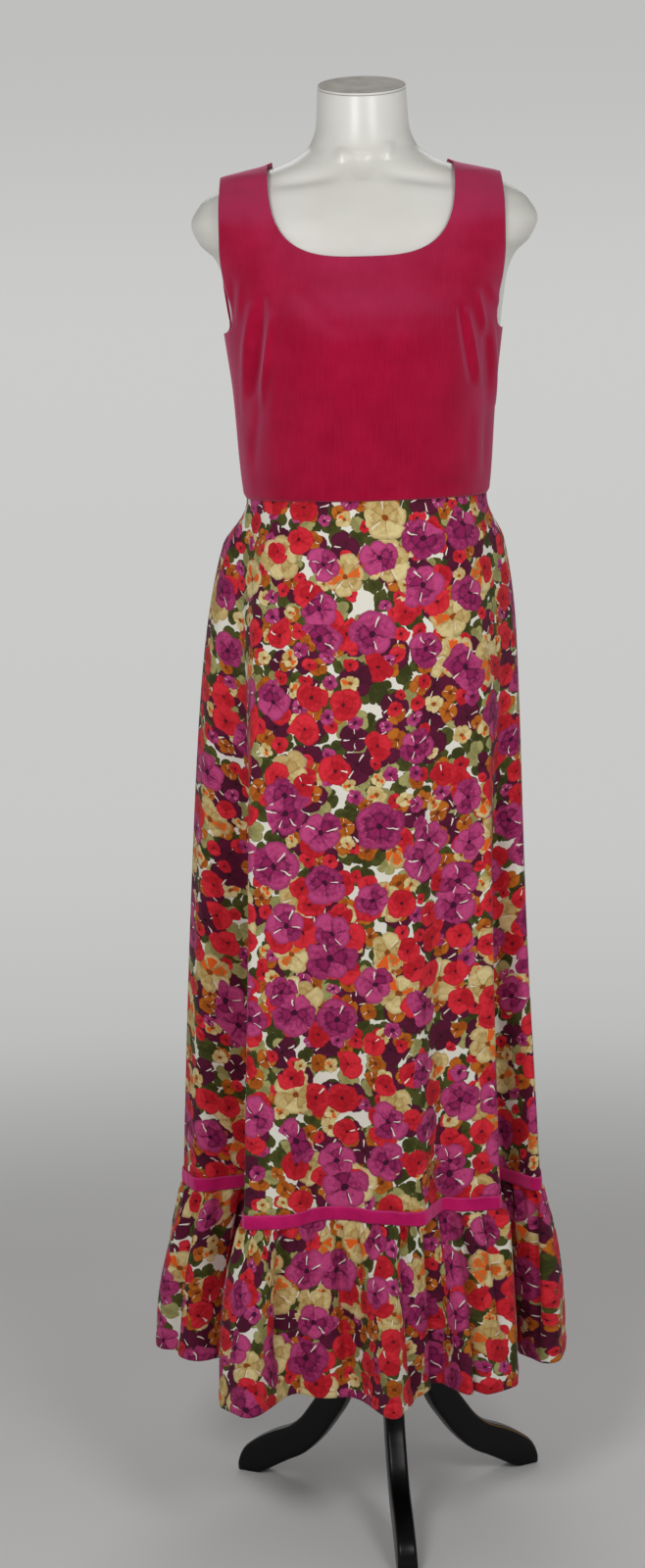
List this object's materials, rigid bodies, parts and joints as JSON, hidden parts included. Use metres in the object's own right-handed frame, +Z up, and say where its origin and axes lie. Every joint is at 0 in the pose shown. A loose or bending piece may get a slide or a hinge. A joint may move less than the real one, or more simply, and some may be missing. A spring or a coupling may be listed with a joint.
{
  "type": "sleeveless maxi dress on a dress form with a tripod stand",
  "caption": "Sleeveless velveteen and printed cotton dress with a gathered flounce, worn by a limbless dress form on a curved three-legged stand.",
  "frame": {"origin": "middle of the whole object's footprint, on the floor that the stand's three feet stand on", "axes": "+Z up, the dress faces -Y, and +X is to the right of someone who looks at its front"},
  "size_m": [0.4498, 0.3897, 1.5805],
  "materials": {
    "velveteen": "fine-rib crimson velveteen",
    "printed_cotton": "matt cotton with a dense flower print",
    "velvet_ribbon": "magenta velvet ribbon",
    "zip_tape": "dyed zip tape",
    "zip_metal": "nickel plated",
    "form_gloss": "glossy off-white",
    "cap_grey": "satin grey",
    "black_paint": "glossy black paint, worn on edges",
    "pole_steel": "brushed"
  },
  "bodies": {
    "root": {"bodice_front": "velveteen", "bodice_back_left": "velveteen", "bodice_back_right": "velveteen", "skirt_front": "printed_cotton", "skirt_back_left": "printed_cotton", "skirt_back_right": "printed_cotton", "flounce_front": "printed_cotton", "flounce_back": "printed_cotton", "ribbon": "velvet_ribbon", "zip_chain": "zip_tape", "zip_slider": "zip_metal", "form_torso": "form_gloss", "neck_cap": "cap_grey", "form_base": "black_paint", "pole": "pole_steel", "hub": "black_paint", "leg_front": "black_paint", "leg_left": "black_paint", "leg_right": "black_paint"},
    "zip_pull": {"zip_pull": "zip_metal"}
  },
  "joints": [
    {"name": "zip_pull_hinge", "type": "hinge", "parent": "root", "child": "zip_pull", "pos_m": [0.0275, 0.10365, 1.43833], "axis": [1, 0, 0], "range_deg": [0, 150]}
  ]
}
